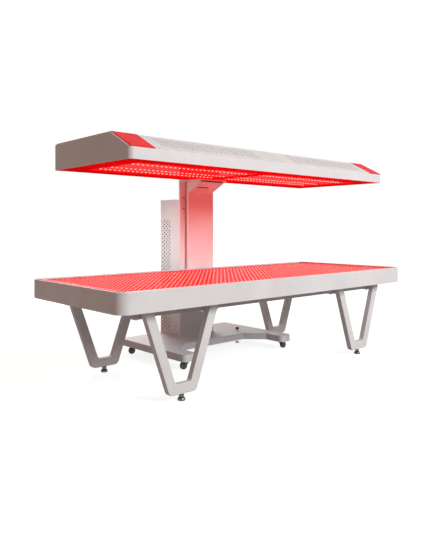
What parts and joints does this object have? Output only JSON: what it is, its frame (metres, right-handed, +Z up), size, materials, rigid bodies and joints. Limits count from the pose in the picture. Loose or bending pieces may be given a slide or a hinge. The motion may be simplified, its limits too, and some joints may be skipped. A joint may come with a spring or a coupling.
{
  "type": "red light therapy bed",
  "caption": "Flat LED treatment bed on V legs, with a wheeled stand behind it that lifts an LED canopy with a sloped, vented front and red end bands over the bed.",
  "frame": {"origin": "on the floor, under the middle of the whole object's box", "axes": "+X along the bed to its right end, +Y away from the open side towards the stand, +Z up"},
  "size_m": [2, 1.02, 1.138],
  "materials": {
    "shell_white": "satin powder coat",
    "border_red": "satin red",
    "clear_acrylic": "clear sheet",
    "led_board": "lit LED boards",
    "aluminium": "mill finish",
    "frame_steel": "grey primer",
    "electronics": "moulded cases",
    "fastener_steel": "bright zinc",
    "foot_dark": "black moulded rubber",
    "castor_metal": "black zinc",
    "castor_tyre": "hard rubber",
    "black_plastic": "moulded"
  },
  "bodies": {
    "bed": {"bed_apron": "shell_white", "leg_front_left": "shell_white", "leg_front_right": "shell_white", "leg_back_left": "shell_white", "leg_back_right": "shell_white", "bed_border": "border_red", "bed_top_sheet": "clear_acrylic", "bed_led_boards": "led_board", "bed_heatsink": "aluminium", "bed_pan": "frame_steel", "bed_front_rail": "frame_steel", "bed_back_rail": "frame_steel", "bed_cross_rails": "frame_steel", "bed_power_supplies": "electronics", "leg_bolts": "fastener_steel"},
    "foot_front_left": {"foot_front_left": "foot_dark"},
    "foot_front_right": {"foot_front_right": "foot_dark"},
    "foot_back_left": {"foot_back_left": "foot_dark"},
    "foot_back_right": {"foot_back_right": "foot_dark"},
    "stand": {"base_slab": "shell_white", "base_left_arm": "shell_white", "base_right_arm": "shell_white", "mast_left_post": "shell_white", "mast_right_post": "shell_white", "mast_lower_panel": "shell_white", "mast_head_plate": "shell_white", "column_left_panel": "shell_white", "column_right_panel": "shell_white", "column_back_cover": "shell_white", "column_electronics": "electronics", "power_inlet": "black_plastic", "lift_actuator_body": "black_plastic"},
    "castor_front_left": {"castor_front_left_fork": "castor_metal"},
    "wheel_front_left": {"castor_front_left_wheel": "castor_tyre"},
    "castor_front_right": {"castor_front_right_fork": "castor_metal"},
    "wheel_front_right": {"castor_front_right_wheel": "castor_tyre"},
    "castor_back_left": {"castor_back_left_fork": "castor_metal"},
    "wheel_back_left": {"castor_back_left_wheel": "castor_tyre"},
    "castor_back_right": {"castor_back_right_fork": "castor_metal"},
    "wheel_back_right": {"castor_back_right_wheel": "castor_tyre"},
    "stabiliser": {"stabiliser_screw": "foot_dark"},
    "power_switch": {"power_switch": "black_plastic"},
    "carriage": {"carriage_block": "aluminium", "guide_shoes": "black_plastic", "lift_actuator_rod": "fastener_steel", "carriage_cover": "shell_white", "canopy_bracket": "shell_white", "bracket_cover_sheet": "shell_white", "support_arm": "aluminium", "canopy_shell": "shell_white", "canopy_vent_panel": "shell_white", "canopy_bands": "border_red", "canopy_bottom_frame": "border_red", "canopy_lenses": "clear_acrylic", "canopy_led_boards": "led_board", "canopy_beam": "aluminium", "canopy_power_supplies": "electronics", "canopy_fan_frames": "black_plastic"},
    "fan_left": {"canopy_fan_rotor_left": "black_plastic"},
    "fan_right": {"canopy_fan_rotor_right": "black_plastic"}
  },
  "joints": [
    {"name": "foot_front_left_level", "type": "slide", "parent": "bed", "child": "foot_front_left", "axis": [0, 0, -1], "range_m": [0, 0.015]},
    {"name": "foot_front_right_level", "type": "slide", "parent": "bed", "child": "foot_front_right", "axis": [0, 0, -1], "range_m": [0, 0.015]},
    {"name": "foot_back_left_level", "type": "slide", "parent": "bed", "child": "foot_back_left", "axis": [0, 0, -1], "range_m": [0, 0.015]},
    {"name": "foot_back_right_level", "type": "slide", "parent": "bed", "child": "foot_back_right", "axis": [0, 0, -1], "range_m": [0, 0.015]},
    {"name": "stand_roll", "type": "slide", "parent": "bed", "child": "stand", "axis": [0, 1, 0], "range_m": [0, 0.5]},
    {"name": "canopy_lift", "type": "slide", "parent": "stand", "child": "carriage", "axis": [0, 0, 1], "range_m": [-0.25, 0.02]},
    {"name": "castor_front_left_swivel", "type": "hinge", "parent": "stand", "child": "castor_front_left", "pos_m": [-0.307, -0.04, 0.045], "axis": [0, 0, 1], "continuous": true},
    {"name": "castor_front_left_roll", "type": "hinge", "parent": "castor_front_left", "child": "wheel_front_left", "pos_m": [-0.321, -0.04, 0.02], "axis": [0, 1, 0], "continuous": true},
    {"name": "castor_front_right_swivel", "type": "hinge", "parent": "stand", "child": "castor_front_right", "pos_m": [0.437, -0.04, 0.045], "axis": [0, 0, 1], "continuous": true},
    {"name": "castor_front_right_roll", "type": "hinge", "parent": "castor_front_right", "child": "wheel_front_right", "pos_m": [0.451, -0.04, 0.02], "axis": [0, 1, 0], "continuous": true},
    {"name": "castor_back_left_swivel", "type": "hinge", "parent": "stand", "child": "castor_back_left", "pos_m": [-0.307, 0.435, 0.045], "axis": [0, 0, 1], "continuous": true},
    {"name": "castor_back_left_roll", "type": "hinge", "parent": "castor_back_left", "child": "wheel_back_left", "pos_m": [-0.321, 0.435, 0.02], "axis": [0, 1, 0], "continuous": true},
    {"name": "castor_back_right_swivel", "type": "hinge", "parent": "stand", "child": "castor_back_right", "pos_m": [0.437, 0.435, 0.045], "axis": [0, 0, 1], "continuous": true},
    {"name": "castor_back_right_roll", "type": "hinge", "parent": "castor_back_right", "child": "wheel_back_right", "pos_m": [0.451, 0.435, 0.02], "axis": [0, 1, 0], "continuous": true},
    {"name": "stabiliser_down", "type": "slide", "parent": "stand", "child": "stabiliser", "axis": [0, 0, -1], "range_m": [0, 0.008]},
    {"name": "switch_rock", "type": "hinge", "parent": "stand", "child": "power_switch", "pos_m": [0.147, 0.5, 0.2], "axis": [1, 0, 0], "range_deg": [-12, 0]},
    {"name": "fan_left_spin", "type": "hinge", "parent": "carriage", "child": "fan_left", "pos_m": [-0.375, -0.304, 1.095], "axis": [0, -0.4662, 0.8847], "continuous": true},
    {"name": "fan_right_spin", "type": "hinge", "parent": "carriage", "child": "fan_right", "pos_m": [0.505, -0.304, 1.095], "axis": [0, -0.4662, 0.8847], "continuous": true}
  ]
}
